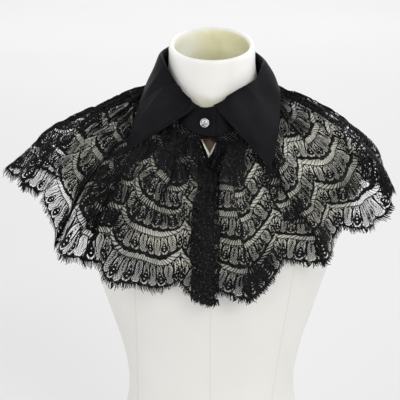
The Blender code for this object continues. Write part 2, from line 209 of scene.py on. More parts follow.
# The bars of half a fan: where each is, how far down a petal it starts and ends, and its width.
BARS = table(
    "x start end width",
    (0, 0.1, 0.6, 1.2), (4.5, 0.06, 0.62, 1.9), (13, 0.06, 0.56, 1.9), (17.2, 0.1, 0.55, 1.1),
    (21.5, 0.06, 0.62, 1.9), (29.9, 0.06, 0.56, 1.9), (34.2, 0.1, 0.6, 1.1), (38.6, 0.06, 0.6, 1.8),
)
BORDER = 3.7
HEM_BORDER = 0.55  # the depth of the lowest border, as a share of that of the others
HEM_WAVES = 10  # small waves to a fan, along the hem
HEM_WAVE = 1.5  # their height
SPANDREL = 3.2  # how far the border rises between two petals
CORD = 1.35
KNOTS = 0.4  # how uneven a cord's width is
CHANNEL = 1.0  # the open line round a petal
NET_SLOPE = 0.52
NET_THREAD = 0.51
NET_STEP = 0.55
NET_LONGEST = 9  # steps in one straight thread of net
LADDER_PITCH = 2.9
LADDER_SPREAD = 5.0  # how far the outer threads of a ladder lean away from the fan's middle
DOT_PITCH = 3.1
LASH_PITCH = 1.2
LASH_WIDTH = 1.15
LASH_LENGTHS = (3.0, 7.6)
MOST_CROWDED = 2.5
FEWEST_LAYERS, MOST_LAYERS = 0.5, 2.9
STRETCH = 0.02  # fans, over which crowding is measured

# Levels of the threads above the lace's middle.
NET_LEVEL, LADDER_LEVEL, LASH_LEVEL, CORD_LEVEL, BORDER_LEVEL = 0.0, 0.1, 0.1, 0.2, 0.25
BAR_LEVEL, TEARDROP_LEVEL, DOT_LEVEL, RING_LEVEL = 0.28, 0.3, 0.35, 0.45


# ---- smooth tables and rings
def smooth(x, y, at):
    """Reads y at the places given, on a smooth curve through the rows (x, y)."""
    slope = np.gradient(y, x)
    i = np.clip(np.searchsorted(x, at, "right") - 1, 0, len(x) - 2)
    step = x[i + 1] - x[i]
    u = np.clip((at - x[i]) / step, 0, 1)
    near = (2 * u**3 - 3 * u**2 + 1) * y[i] + (u**3 - 2 * u**2 + u) * step * slope[i]
    far = (3 * u**2 - 2 * u**3) * y[i + 1] + (u**3 - u**2) * step * slope[i + 1]
    return near + far


def fade(u):
    """Rises smoothly from 0 to 1 as u does."""
    u = np.clip(u, 0, 1)
    return u * u * (3 - 2 * u)


def ring(rows, key, at, angle):
    """Points at an angle from the front on the egg-shaped rings of a table, at the places given."""
    read = {name: smooth(rows[key], rows[name], at) for name in rows if name != key}
    s, c = np.sin(angle), np.cos(angle)
    side = np.where(s > 0, read["left"], read["right"])
    depth = np.where(c > 0, read["front"], read["back"])
    z_side = np.where(s > 0, read["z_left"], read["z_right"])
    z_end = np.where(c > 0, read["z_front"], read["z_back"])
    z = z_end + (z_side - z_end) * s * s
    return np.stack([-side * s, -depth * c, z + RIM_HEIGHT], axis=-1)


class Rings:
    """Egg-shaped rings on which a place is given by its share of the way round, in turns."""

    LEVELS = 45
    STEPS = 720

    def __init__(self, rows, key):
        self.rows, self.key = rows, key
        self.low, self.high = rows[key][0], rows[key][-1]
        angles = np.linspace(0, 2 * math.pi, self.STEPS + 1)
        turns = np.linspace(0, 1, self.STEPS + 1)
        self.angles = []
        self.lengths = []
        for at in np.linspace(self.low, self.high, self.LEVELS):
            points = ring(rows, key, np.full_like(angles, at), angles)
            arc = np.r_[0, np.cumsum(np.linalg.norm(np.diff(points, axis=0), axis=1))]
            self.angles.append(np.interp(turns, arc / arc[-1], angles))
            self.lengths.append(arc[-1])
        self.angles = np.array(self.angles)

    def level(self, at):
        return np.clip((at - self.low) / (self.high - self.low), 0, 1) * (self.LEVELS - 1)

    def length(self, at):
        return np.interp(self.level(at), np.arange(self.LEVELS), self.lengths)

    def angle(self, turn, at):
        row = self.level(at)
        i = np.minimum(row.astype(int), self.LEVELS - 2)
        column = (turn % 1.0) * self.STEPS
        j = np.minimum(column.astype(int), self.STEPS - 1)
        u, w = row - i, column - j
        near = self.angles[i, j] * (1 - w) + self.angles[i, j + 1] * w
        far = self.angles[i + 1, j] * (1 - w) + self.angles[i + 1, j + 1] * w
        return near * (1 - u) + far * u

    def point(self, turn, at):
        turn, at = np.broadcast_arrays(np.asarray(turn, float), np.asarray(at, float))
        return ring(self.rows, self.key, at, self.angle(turn, at))

    def outward(self, turn, at):
        """Unit normals, pointing away from the form."""
        around = self.point(turn + 0.002, at) - self.point(turn - 0.002, at)
        size = (self.high - self.low) * 0.01
        down = self.point(turn, at + size) - self.point(turn, at - size)
        normal = unit(np.cross(around, down))
        return normal * np.sign(normal[..., 2:])


cape = Rings(CAPE, "reach")
stand = Rings(STAND, "up")

# ---- the lace's surface
GATHERS = 4.4  # to a fan
GATHER_HEIGHT = 3.4
SLACK_WAVES = 1.9  # to a fan, towards the hem
SLACK_HEIGHT = 1.5
HEM_FROM = 160  # the reach at which unevenness in the rows starts to fade towards the hem


def flute(turn, reach):
    """How far the soft flutes stand out from the cape's rings."""
    height = np.zeros(np.broadcast(turn, reach).shape)
    for crest, size, half_width in rows_of(FLUTES):
        away = (turn - crest + 0.5) % 1.0 - 0.5
        height = height + size * np.cos(np.clip(away / half_width, -1, 1) * math.pi / 2) ** 2
    return height * np.clip(reach / LACE_DEPTH, 0, 1.1) ** FLUTE_POWER


def gathers(fan, reach):
    """Small uneven gathers that run down from the neckline, and slacker ones at the hem."""
    near = fade(reach / 12) * (1 - 0.9 * fade((reach - 35) / 120))
    wander = 0.30 * np.sin(5.1 * fan) + 0.22 * np.sin(2.3 * fan + 1) + 0.12 * np.sin(11.3 * fan)
    small = np.sin(2 * math.pi * (GATHERS * fan + wander) + reach / 60)
    uneven = 0.8 + 0.2 * np.sin(7.7 * fan + 2)
    low = fade((reach - 60) / 150)
    slack = np.sin(2 * math.pi * (SLACK_WAVES * fan + 0.35 * np.sin(3.7 * fan)) + reach / 40)
    return near * uneven * GATHER_HEIGHT * (0.8 + small) + low * SLACK_HEIGHT * (1 + slack)


# Folds in the lace: where each is along the strip, from what distance down it opens and closes, how
# much of the strip it takes up, its height, and the side on top.
FOLDS = table(
    "fan opens closes take_up height side",
    (0.55, 8, 95, 15, 3, 1), (0.9, 8, 70, 18, 3, -1), (1.2, 8, 110, 18, 3.5, 1), (1.5, 8, 130, 20, 4, 1),
    (1.85, 8, 185, 26, 5, 1), (2.15, 20, 175, 26, 5, -1), (2.45, 30, 215, 20, 5, 1),
    (2.8, 50, 190, 18, 4, -1), (3.3, 10, 90, 14, 3, 1), (3.85, 10, 80, 14, 3, -1),
    (4.15, 60, 190, 16, 4, 1), (4.9, 10, 150, 16, 4, 1), (5.6, 20, 110, 14, 3, -1), (6.3, 8, 170, 18, 4, 1),
    (7.1, 30, 120, 14, 3, -1), (7.8, 10, 190, 16, 4, 1), (9.3, 10, 120, 14, 3, 1),
    (10.1, 40, 180, 16, 4, -1), (10.9, 8, 100, 14, 3, 1), (11.6, 20, 160, 16, 4, 1),
    (12.15, 10, 100, 14, 3, -1), (12.62, 60, 205, 18, 4.5, 1), (13.2, 8, 70, 12, 3, -1),
    (13.75, 40, 120, 14, 3.5, 1), (14.05, 10, 200, 24, 5, 1), (14.35, 8, 110, 22, 4, -1),
    (14.75, 8, 90, 18, 3.5, 1), (15.02, 8, 200, 18, 4, -1), (15.32, 8, 70, 14, 3, 1),
)
FOLD_SHARPNESS = 0.07  # in fans
FOLD_SPREAD = 0.45
FOLD_DARKNESS = 0.07  # for each millimetre that a fold takes up
FOLD_OPENS_OVER, FOLD_CLOSES_OVER = 20, 45
FOLD_SLIP = 0.2  # how far the rows slip past each other at a fold, as a share of what it takes up


def at_fold(fan, down, middle, opens, closes):
    """How far a place is from a fold, in fans, and how open the fold is there."""
    share = fade((down - opens) / FOLD_OPENS_OVER) * (1 - fade((down - closes) / FOLD_CLOSES_OVER))
    return fan - middle + 0.03 * np.sin(down / 27 + middle), share


def folds(fan, reach):
    """How far the folds shift the strip along itself, in fans, how high they stand, and how far
    the rows slip at them."""
    shift, height, slip = np.zeros((3, *np.broadcast(fan, reach).shape))
    for middle, opens, closes, take_up, size, side in rows_of(FOLDS):
        away, share = at_fold(fan, reach, middle, opens, closes)
        folded = np.tanh(1.2 * away / FOLD_SHARPNESS) - np.tanh(1.2 * away / FOLD_SPREAD)
        shift = shift - share * take_up / FAN_WIDTH / 2 * folded
        step = away * side / FOLD_SHARPNESS
        height = height + share * size * fade((step + 4.5) / 3) * (1 - fade((step + 0.9) / 1.6))
        slipped = np.tanh(1.2 * step * side) * np.exp(-((away / 0.3) ** 2))
        slip = slip + share * side * take_up * FOLD_SLIP * slipped
    return shift, height, slip


def above_hem(reach):
    """1 over most of the lace, fading to 0 at its hem."""
    return 1 - fade((reach - HEM_FROM) / 40)


def uneven_rows(fan, reach):
    """How far the rows of the pattern stray from straight ones, none at the neckline and the hem."""
    stray = 2.2 * np.sin(2.6 * fan + reach / 31) + 1.5 * np.sin(4.7 * fan - reach / 19 + 2)
    return stray * fade((reach - 12) / 30) * above_hem(reach)


# Where the fall's two points press the gathers and folds flat: the middle and the size of each, in
# turns and in millimetres from the neckline, and how much.
PRESSED = table(
    "turn reach wide deep share",
    (0.125, 44, 0.062, 44, 0.8), (0.905, 40, 0.056, 40, 0.8), (0.135, 72, 0.03, 20, 0.5),
    (0.895, 62, 0.03, 20, 0.5),
)


def slack_left(turn, reach):
    """The share of the gathers and folds that is left under the collar."""
    left = 1 + 0 * turn
    for middle, low, wide, deep, share in rows_of(PRESSED):
        away = (turn + 0.5 - middle) % 1.0 - 0.5
        left = left * (1 - share * np.exp(-((away / wide) ** 4) - ((reach - low) / deep) ** 4))
    return left


# Where the hem hangs lower, or higher below 0, than the straight strip's.
HEM_DROP = table(
    "fan drop",
    (1, 0), (1.125, 4), (1.25, 13), (1.375, 19), (1.5, 23), (1.625, 14), (1.75, 10), (2, 6), (2.25, 15),
    (2.4, 19), (2.75, 19), (2.875, 13), (3, -2), (3.125, -8), (3.25, -10), (3.5, -10), (3.875, -13),
    (4, -11), (4.25, -4), (4.5, 0), (4.75, 6), (4.9, 6), (5.3, 0), (12.4, 0), (12.625, 5), (12.75, 15),
    (12.875, 9), (13, 2), (13.3, -3), (13.75, -8), (13.9, -10), (14.1, -8), (14.375, -13), (14.55, -11),
    (14.75, -3), (14.9, 0),
)
HEM_DROP_FROM = 115.0  # the reach at which it begins

# Where the shoulders of the cape stand out further, in turns and in millimetres of reach.
BULGES = table("turn reach wide deep height", (0.265, 138, 0.05, 40, 5), (0.742, 152, 0.05, 36, 8))


def bulge(turn, reach):
    height = 0 * turn
    for middle, low, wide, deep, size in rows_of(BULGES):
        height = height + size * np.exp(-(((turn - middle) / wide) ** 2) - ((reach - low) / deep) ** 2)
    return height


def turn_of(fan, reach):
    """Turns round the neck of a place given by fans along the strip, between its front edges."""
    left = smooth(FRONT_EDGES["reach"], FRONT_EDGES["left_edge"], reach)
    right = smooth(FRONT_EDGES["reach"], FRONT_EDGES["right_edge"], reach)
    length = cape.length(reach)
    wavy = fade(reach / 30) * (1.3 * np.sin(reach / 8.3) + 0.9 * np.sin(reach / 3.7 + 1))
    start = -(left + wavy) / length
    end = 1 - (right + 0.6 * wavy) / length
    spread = smooth(SPREAD["fan"], SPREAD["turn"], fan)
    first, last = SPREAD["turn"][0], SPREAD["turn"][-1]
    return start + (end - start) * (spread - first) / (last - first)


def scallop(fan):
    """1 between two fans and 0 at a fan's middle."""
    return np.abs(2 * ((fan + 0.5) % 1.0) - 1) ** SCALLOP_POWER


def reach_of(fan, down):
    """Distance from the neckline of a place on a row of the pattern."""
    return down - np.interp(down, LACE_ROWS["reach"], LACE_ROWS["scallop"]) * scallop(fan)


def turn_under(fan):
    """Folds what lies past an edge, below 0, back and forth under the cloth beside it."""
    return np.where(fan < 0, TURNING - np.abs(TURNING - np.abs(fan)), fan)


def on_lace(fan, down, out=0.0):
    """Points on the lace. down is measured from the neckline at a fan's middle, so a row of the
    pattern has one value of it. Past its two ends the strip is folded back under itself."""
    fan, down = np.broadcast_arrays(np.asarray(fan, float), np.asarray(down, float))
    reach = reach_of(fan, down)
    turned = np.ceil(np.maximum(-fan, fan - FANS) / TURNING).clip(0, 2)
    fan = np.where(fan > FANS, FANS - turn_under(FANS - fan), turn_under(fan))
    shift, folded, slip = folds(fan, reach)
    turn = turn_of(fan + shift, reach)
    hanging = fade((reach - HEM_DROP_FROM) / (LACE_DEPTH - HEM_DROP_FROM))
    drop = np.interp(fan, HEM_DROP["fan"], HEM_DROP["drop"]) * hanging
    reach = reach + uneven_rows(fan, reach) + slip * above_hem(reach) + drop
    lapped = (fan < FANS / 2) * fade((OVERLAP_FADED - turn) / (OVERLAP_FADED - OVERLAP_FULL))
    lift = (OVERLAP_LIFT * lapped - TURNING_GAP * turned) * fade(reach / OVERLAP_STARTS)
    loose = (gathers(fan, reach) + folded) * slack_left(turn, reach)
    rise = flute(turn, reach) + bulge(turn, reach) + loose + lift + out
    return cape.point(turn, reach) + cape.outward(turn, reach) * rise[..., None]


# Where the strip lies double or treble, and, below 0, where it is pulled open: the middle, the size
# along the strip and down it, and how much the threads close up.
LAYERS = table(
    "fan down wide deep amount",
    (0.7, 36, 0.95, 38, 1.8), (15.2, 32, 0.75, 28, 1.6), (2.25, 104, 0.5, 36, 2.3), (2, 148, 0.48, 21, 1.6),
    (2.85, 166, 0.12, 26, 2.6), (2.85, 138, 0.16, 18, 1.8), (4.35, 160, 0.28, 16, 1.6),
    (4.9, 100, 0.14, 60, 1.1), (2, 70, 0.36, 18, 2.4), (0.85, 113, 0.32, 10, 1), (1.52, 162, 0.22, 18, 1.4),
    (0.15, 150, 0.16, 60, 1.6), (14.15, 68, 0.26, 15, 2.8), (14.12, 130, 0.22, 13, 2.2),
    (13.9, 182, 0.2, 18, 2.6), (14.85, 184, 0.28, 22, 2.2), (13.1, 146, 0.24, 13, 1.1),
    (12.2, 176, 0.2, 28, 2.2), (12.95, 45, 0.1, 30, 0.8), (3.9, 116, 0.7, 28, -0.36),
    (3.5, 182, 0.55, 28, -0.56), (2.05, 188, 0.46, 19, -0.66), (0.75, 146, 0.36, 18, -0.3),
    (13.45, 86, 0.5, 32, -0.44), (12.4, 100, 0.5, 34, -0.4), (12.85, 52, 0.24, 20, -0.15),
    (13.75, 158, 0.14, 18, -0.4), (12.8, 182, 0.36, 22, -0.35), (14.9, 92, 0.22, 32, -0.3),
    (5.35, 80, 0.13, 62, 1.2), (5.75, 120, 0.1, 50, 1.3), (6.4, 150, 0.12, 44, 1.3),
    (6.85, 70, 0.14, 50, 1.1), (7.35, 60, 0.15, 55, 1.3), (7.9, 155, 0.11, 45, 1.4),
    (8.75, 95, 0.12, 60, 1.2), (9.55, 60, 0.15, 50, 1.2), (10.15, 140, 0.12, 50, 1.4),
    (10.6, 60, 0.12, 55, 1.1), (11.2, 100, 0.13, 60, 1.3), (4.25, 70, 0.5, 60, -0.3),
    (11.95, 70, 0.45, 60, -0.35), (6, 180, 0.3, 20, -0.35), (7, 125, 0.35, 30, -0.35),
    (8.4, 60, 0.3, 30, -0.35), (9.2, 165, 0.35, 28, -0.35), (10.8, 125, 0.3, 35, -0.35),
)


def layers(fan, down):
    """How much closer than one thickness of lace the threads look."""
    more = 1 + 0 * fan
    for middle, low, wide, deep, amount in rows_of(LAYERS):
        away = ((fan - middle + 0.04 * np.sin(down / 9 + middle)) / wide) ** 2 + ((down - low) / deep) ** 2
        more = more + amount * np.exp(-(away**2))
    for middle, opens, closes, take_up, *_ in rows_of(FOLDS):
        away, share = at_fold(fan, down, middle, opens, closes)
        more = more + FOLD_DARKNESS * take_up * share * np.exp(-((away / FOLD_SHARPNESS) ** 2))
    return np.clip(more, FEWEST_LAYERS, MOST_LAYERS)


def crowding(fan, down):
    """How much wider a thread lies in the gathers, where a flat fan is squeezed together."""
    across = on_lace(fan + STRETCH, down) - on_lace(fan - STRETCH, down)
    width = np.linalg.norm(across, axis=-1) / (2 * STRETCH)
    return np.clip(FAN_WIDTH / np.maximum(width, 1), 1, MOST_CROWDED) * layers(fan, down)


# ---- drawing lacework on a chart
def inside(points, outline, holes=()):
    """Which of the points lie inside a closed outline, and in none of its holes."""
    x, y = points[:, :1], points[:, 1:]
    x0, y0 = outline[:, 0], outline[:, 1]
    x1, y1 = np.roll(x0, -1), np.roll(y0, -1)
    level = np.where(y1 == y0, 1e-12, y1 - y0)
    crosses = ((y0 > y) != (y1 > y)) & (x < x0 + (y - y0) / level * (x1 - x0))
    found = crosses.sum(axis=1) % 2 == 1
    for hole in holes:
        found &= ~inside(points, hole)
    return found


def circle(sides):
    """Points on a circle of radius 1."""
    angles = np.linspace(0, 2 * math.pi, sides, endpoint=False)
    return np.stack([np.cos(angles), np.sin(angles)], axis=1)


def grid_faces(rows, columns, closed=False):
    """The faces of a grid of points, row by row. A closed one goes round."""
    faces = []
    for row in range(rows - 1):
        for k in range(columns if closed else columns - 1):
            a, b = row * columns + k, row * columns + (k + 1) % columns
            faces.append((a, a + columns, b + columns, b))
    return faces


class Chart:
    """Flat lacework: x across a fan from its middle, y down from the neckline, in millimetres."""

    def __init__(self):
        self.places, self.spreads, self.levels, self.faces = [], [], [], []
        self.size = 0

    def add(self, places, faces, level, spreads=None):
        """Adds faces. The spreads are what crowding widens, away from the places."""
        places = np.asarray(places, float)
        self.places.append(places)
        self.spreads.append(np.zeros_like(places) if spreads is None else spreads)
        self.levels.append(np.full(len(places), level))
        self.faces += [tuple(int(k) + self.size for k in face) for face in faces]
        self.size += len(places)

    def thread(self, line, width, level, taper=1.0, knots=0.0):
        """A flat thread along a line. taper is the width of its far end as a share of the near one,
        and knots how much wider and narrower than the rest each point in turn is."""
        line = np.asarray(line, float)
        count = len(line)
        along = np.gradient(line, axis=0)
        along /= np.linalg.norm(along, axis=1, keepdims=True) + 1e-9
        half = width / 2 * np.linspace(1, taper, count) * (1 + knots * np.cos(np.pi * np.arange(count)))
        side = np.stack([-along[:, 1], along[:, 0]], axis=1) * half[:, None]
        spreads = np.stack([side, -side], axis=1).reshape(-1, 2)
        faces = [(2 * k, 2 * k + 1, 2 * k + 3, 2 * k + 2) for k in range(count - 1)]
        self.add(np.repeat(line, 2, axis=0), faces, level, spreads)

    def cloth(self, outline, holes, pitch, level):
        """Close clothwork inside an outline, with holes."""
        low, high = outline.min(axis=0), outline.max(axis=0)
        grid = [np.arange(low[k] + pitch / 2, high[k], pitch) for k in (0, 1)]
        fill = np.stack(np.meshgrid(*grid), axis=-1).reshape(-1, 2)
        fill = fill[inside(fill, outline, holes)]
        points, edges = [], []
        for loop in (outline, *holes):
            near = np.linalg.norm(fill[:, None] - loop[None], axis=2).min(axis=1) < pitch * 0.35
            fill = fill[~near]
            first, count = len(points), len(loop)
            points += list(loop)
            edges += [(first + k, first + (k + 1) % count) for k in range(count)]
        flat = [Vector((float(x), float(y))) for x, y in (*points, *fill)]
        found, _, faces, *_ = delaunay_2d_cdt(flat, edges, [], 0, 1e-5)
        found = np.array([tuple(v) for v in found])
        keep = inside(np.array([found[list(face)].mean(axis=0) for face in faces]), outline, holes)
        self.add(found, [face for face, kept in zip(faces, keep) if kept], level)

    def ringlet(self, x, y, outer, inner, level, sides=12):
        """A small flat ring of thread."""
        faces = [(k, (k + 1) % sides, sides + (k + 1) % sides, sides + k) for k in range(sides)]
        spreads = np.concatenate([circle(sides) * outer, circle(sides) * inner])
        self.add(np.tile((x, y), (2 * sides, 1)), faces, level, spreads)

    def arrays(self):
        return [*map(np.concatenate, (self.places, self.spreads, self.levels)), self.faces]


def petal_shape(x, top, bottom, half_width, shape, count=9):
    """The outline of a petal, from its top left down and round to its top right."""
    share = 1 - (1 - np.linspace(0, 1, count)) ** 1.5
    width = np.maximum(smooth(shape["share"], shape["width"], share) * half_width, 0)
    y = top + (bottom - top) * share
    left = np.stack([x - width, y], axis=1)
    right = np.stack([x + width, y], axis=1)
    return np.concatenate([left, right[::-1][1:]])


def resampled(line, count):
    """A line of the same shape with another count of points."""
    at, rows = np.linspace(0, 1, count), np.linspace(0, 1, len(line))
    return np.stack([np.interp(at, rows, line[:, k]) for k in (0, 1)], axis=1)


def hole_at(x, y, radius, sides):
    return (x, y) + radius * circle(sides)


def evenly(pitch):
    """Places across a fan, at about a pitch from each other."""
    count = round(FAN_WIDTH / pitch)
    return (np.arange(count) + 0.5) / count * FAN_WIDTH - HALF_FAN


def both_sides(columns):
    """The rows of a table for half a fan, each at -x and at x, and that of the middle once."""
    for x, *rest in rows_of(columns):
        for side in (-1, 1) if x else (1,):
            yield side * x, *rest


def teardrop(cloth, x, top, bottom, half_width):
    """A closely worked teardrop with a chain of eyelets, and a ring above it. Returns the holes."""
    depth = bottom - top
    start, end = top + depth * 0.27, bottom - CHANNEL - CORD
    body = petal_shape(x, start, end, half_width, TEARDROP)
    shares = (0.26, 0.5, 0.74) if half_width > 2.5 else (0.4, 0.7)
    eyelets = [(x, start + (end - start) * share, EYELET) for share in shares]
    cloth.cloth(body, [hole_at(*eyelet, 6) for eyelet in eyelets], CLOTH_PITCH, TEARDROP_LEVEL)
    ring_at = (x, top + depth * 0.13, 1.1)
    cloth.ringlet(x, ring_at[1], 1.95, 1.05, RING_LEVEL)
    return eyelets + [ring_at]


def diagonal_net(net, top, bottom, pitch, outlines, holes):
    """Fine net across a fan, left out along the channels and in the holes."""
    y = np.arange(top, bottom + 0.01, (bottom - top) / round((bottom - top) / NET_STEP))
    channels = np.concatenate(outlines)
    for slope in (-NET_SLOPE, NET_SLOPE):
        for x0 in evenly(pitch):
            line = np.stack([x0 + slope * (y - (top + bottom) / 2), y], axis=1)
            local = (line[:, 0] + HALF_FAN) % FAN_WIDTH - HALF_FAN
            at = np.stack([local, y], axis=1)
            near = np.linalg.norm(at[:, None] - channels[None], axis=2).min(axis=1)
            open_here = near < CHANNEL * 0.75
            for hx, hy, radius in holes:
                open_here |= np.hypot(local - hx, y - hy) < radius + 0.25
            start = None
            for k in range(len(y) + 1):
                solid = k < len(y) and not open_here[k]
                if solid and start is None:
                    start = k
                if start is not None and (not solid or k - start == NET_LONGEST):
                    end = k if solid else k - 1
                    if end > start:
                        net.thread(line[[start, end]], NET_THREAD, NET_LEVEL)
                    start = k if solid else None


def border(cloth, low, bottom, hem):
    """The close border under a tier's petals, whose upper edge follows them, and its dots."""
    across = np.linspace(-HALF_FAN, HALF_FAN, 81)
    x, half_width = PETALS["x"], PETALS["half_width"]
    middles = np.r_[-x[:0:-1], x, NEXT_PETAL, -NEXT_PETAL]
    wide = np.r_[half_width[:0:-1], half_width, NEXT_HALF_WIDTH, NEXT_HALF_WIDTH] + 0.6
    into = np.min(np.abs(across[:, None] - middles) / wide, axis=1)
    high = low - SPANDREL * np.clip(into, 0, 1.2) ** 2
    edge = np.full_like(across, bottom)
    if hem:
        edge = bottom + HEM_WAVE * np.abs(np.sin(across * math.pi / (FAN_WIDTH / HEM_WAVES))) - 0.9
    uneven = rng.uniform(-1.0, 1.0, (2, len(across)))
    uneven[:, -1] = uneven[:, 0]
    high, edge = high + uneven[0], edge + uneven[1]
    rows = np.array([high, (high + edge) / 2, edge])
    places = np.stack([np.broadcast_to(across, rows.shape), rows], axis=-1).reshape(-1, 2)
    cloth.add(places, grid_faces(3, len(across)), BORDER_LEVEL)
    for x in evenly(DOT_PITCH):
        cloth.ringlet(x, high[np.searchsorted(across, x)] - 0.7, 1.2, 0.5, TEARDROP_LEVEL, 5)


def tier(ladder, thread, top, bottom, lean, net_pitch, hem):
    """One tier of a fan: its ladder band, its petals on their net, and the border under them."""
    cloth, net = Chart(), Chart()
    low = bottom - BORDER * (HEM_BORDER if hem else 1)
    outlines, holes = [], []
    for x, half_width, drop in both_sides(PETALS):
        outline = petal_shape(x, top + PETAL_TOP, low - 0.4, half_width, PETAL, 14)
        outlines.append(resampled(outline, 60))
        cord = petal_shape(x, top + PETAL_TOP, low + 0.5, half_width + CHANNEL * 0.9, PETAL)
        cloth.thread(cord, CORD, CORD_LEVEL, knots=KNOTS)
        if drop:
            holes += teardrop(cloth, x, top + 1.2, low, drop)
    diagonal_net(net, top + 0.6, low + 1.4, net_pitch, outlines, holes)
    for x, start, end, width in both_sides(BARS):
        share = np.linspace(start, end, 5)
        bow = 0.5 * np.sin(share * 9 + abs(x))
        line = np.stack([x + bow, top + 1.2 + (low - top - 1.2) * share], axis=1)
        cloth.thread(line, width * rng.uniform(0.85, 1.15), BAR_LEVEL, 0.8)
    border(cloth, low, bottom, hem)

    # the dotted line over the petals, and the ladder over it
    x = np.linspace(-HALF_FAN, HALF_FAN, 25)
    cloth.thread(np.stack([x, np.full_like(x, top + 0.3)], axis=1), 1.1, BORDER_LEVEL)
    for x in evenly(DOT_PITCH):
        cloth.add(hole_at(x, top + 1.1, 1.05, 5), [range(5)], DOT_LEVEL)
    for x in evenly(LADDER_PITCH) if ladder else ():
        out = LADDER_SPREAD * x / HALF_FAN + rng.uniform(-0.5, 0.5)
        y = np.linspace(top - ladder - 0.4, top + 0.4, 4)
        line = np.stack([x + rng.uniform(-0.35, 0.35) + out * np.linspace(-0.5, 0.5, 4), y], axis=1)
        net.thread(line, thread * rng.uniform(0.7, 1.45), LADDER_LEVEL)
    leaned = []
    for chart in (cloth, net):
        places, spreads, levels, faces = chart.arrays()
        share = (places[:, 1] - top) / (bottom - top) - 0.5
        local = (places[:, 0] + HALF_FAN) % FAN_WIDTH - HALF_FAN
        wave = np.sin(math.pi * np.clip(np.abs(local) / HALF_FAN, 0, 1) ** LEAN_POWER)
        places[:, 0] += np.sign(local) * lean * share * wave
        leaned.append((places, spreads, levels, faces))
    return leaned


def neckband():
    """The close top of the strip, where it is gathered into the collar, with a few open cells."""
    chart = Chart()
    columns, rows = 61, 9
    across = np.linspace(-HALF_FAN, HALF_FAN, columns)
    places = np.stack(np.meshgrid(across, np.linspace(0, TIERS["top"][0], rows)), axis=-1).reshape(-1, 2)
    faces = [cell for k, cell in enumerate(grid_faces(rows, columns)) if (7 * k + k // 11) % 13]
    chart.add(places, faces, BORDER_LEVEL)
    return chart.arrays()


def lashes():
    """The eyelashes along a fan's hem, on the strip they grow from."""
    chart = Chart()
    root, edge = LACE_DEPTH - 0.8, LACE_DEPTH + 1.5
    for x in evenly(LASH_PITCH):
        x = x + rng.uniform(-0.4, 0.4)
        length = rng.uniform(*LASH_LENGTHS)
        slant = rng.normal(0.3, 1.5)
        y = np.array([root, edge, edge + length * 0.55, edge + length])
        bend = slant * ((y - root) / 8) ** 2
        lean = 0.25 * math.sin(math.pi * abs(x) / HALF_FAN) * np.sign(x) * (y - LACE_DEPTH + 1)
        chart.thread(np.stack([x + bend + lean, y], axis=1), LASH_WIDTH, LASH_LEVEL, 0.4)
    return chart.arrays()


# ---- pieces
def mesh_of(name, points, faces, smooth_shaded=True):
    """A mesh of points in millimetres."""
    mesh = bpy.data.meshes.new(name)
    mesh.from_pydata((np.asarray(points) * MM).tolist(), [], faces)
    if smooth_shaded:
        mesh.shade_smooth()
    return mesh


def link(mesh, slot, *materials):
    for material in materials:
        mesh.materials.append(material)
    piece = bpy.data.objects.new(mesh.name, mesh)
    bpy.context.scene.collection.objects.link(piece)
    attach(piece, "root")
    return piece


def remove_loose(mesh):
    work = bmesh.new()
    work.from_mesh(mesh)
    loose = [v for v in work.verts if not v.link_faces]
    bmesh.ops.delete(work, geom=loose, context="VERTS")
    work.to_mesh(mesh)
    work.free()


def lay(name, charts, first, last, material):
    """Lays the charts on the lace's surface, once for each fan from first to last. Returns the piece
    and its flat area in square metres."""
    points, flats, faces, total, flat_area = [], [], [], 0, 0.0
    for places, spreads, levels, polygons in charts:
        for fan in range(first, last + 1):
            at = fan + places[:, 0] / FAN_WIDTH
            at = at + spreads[:, 0] * crowding(at, places[:, 1]) / FAN_WIDTH
            down = places[:, 1] + spreads[:, 1]
            kept = (at > -2 * TURNING) & (at < FANS + 2 * TURNING)
            points.append(on_lace(at, down, levels))
            flats.append(np.stack([at * FAN_WIDTH, reach_of(at, down)], axis=1) * MM)
            faces += [tuple(k + total for k in face) for face in polygons if all(kept[k] for k in face)]
            total += len(places)
    flats = np.concatenate(flats)
    mesh = mesh_of(name, np.concatenate(points), faces)
    layer = mesh.uv_layers.new(name="flat")
    corners = np.empty(len(mesh.loops), int)
    mesh.loops.foreach_get("vertex_index", corners)
    layer.data.foreach_set("uv", flats[corners].ravel())
    piece = link(mesh, "lace", material)
    remove_loose(mesh)
    for face in faces:
        x, y = flats[list(face)].T
        flat_area += abs(np.dot(x, np.roll(y, -1)) - np.dot(y, np.roll(x, -1))) / 2
    return piece, flat_area


# ---- the cotton collar
def away_from_neck(points):
    """Level unit vectors from the middle of the neck to the points."""
    return unit(points * (1, 1, 0))


def stand_points(turns, ups):
    lift = STAND_LAP_LIFT * fade((LAP_FADED - turns) / (LAP_FADED - LAP_FULL))
    points = stand.point(turns, ups)
    points = points + away_from_neck(points) * lift[..., None]
    points[..., 2] += ups * smooth(STAND_RISE["turn"], STAND_RISE["rise"], turns % 1.0)
    return points


def shell(name, points, wall, material):
    """A wall of cloth round a grid of points, with rounded edges."""
    mesh = mesh_of(name, points.reshape(-1, 3), grid_faces(*points.shape[:2]))
    piece = link(mesh, "cotton", material)
    solidify = piece.modifiers.new("wall", "SOLIDIFY")
    solidify.thickness = wall * MM
    solidify.offset = 0
    solidify.use_even_offset = True
    bevel = piece.modifiers.new("edge", "BEVEL")
    bevel.width = wall * 0.4 * MM
    bevel.segments = 2
    bevel.limit_method = "ANGLE"
    bevel.angle_limit = math.radians(50)
    return piece


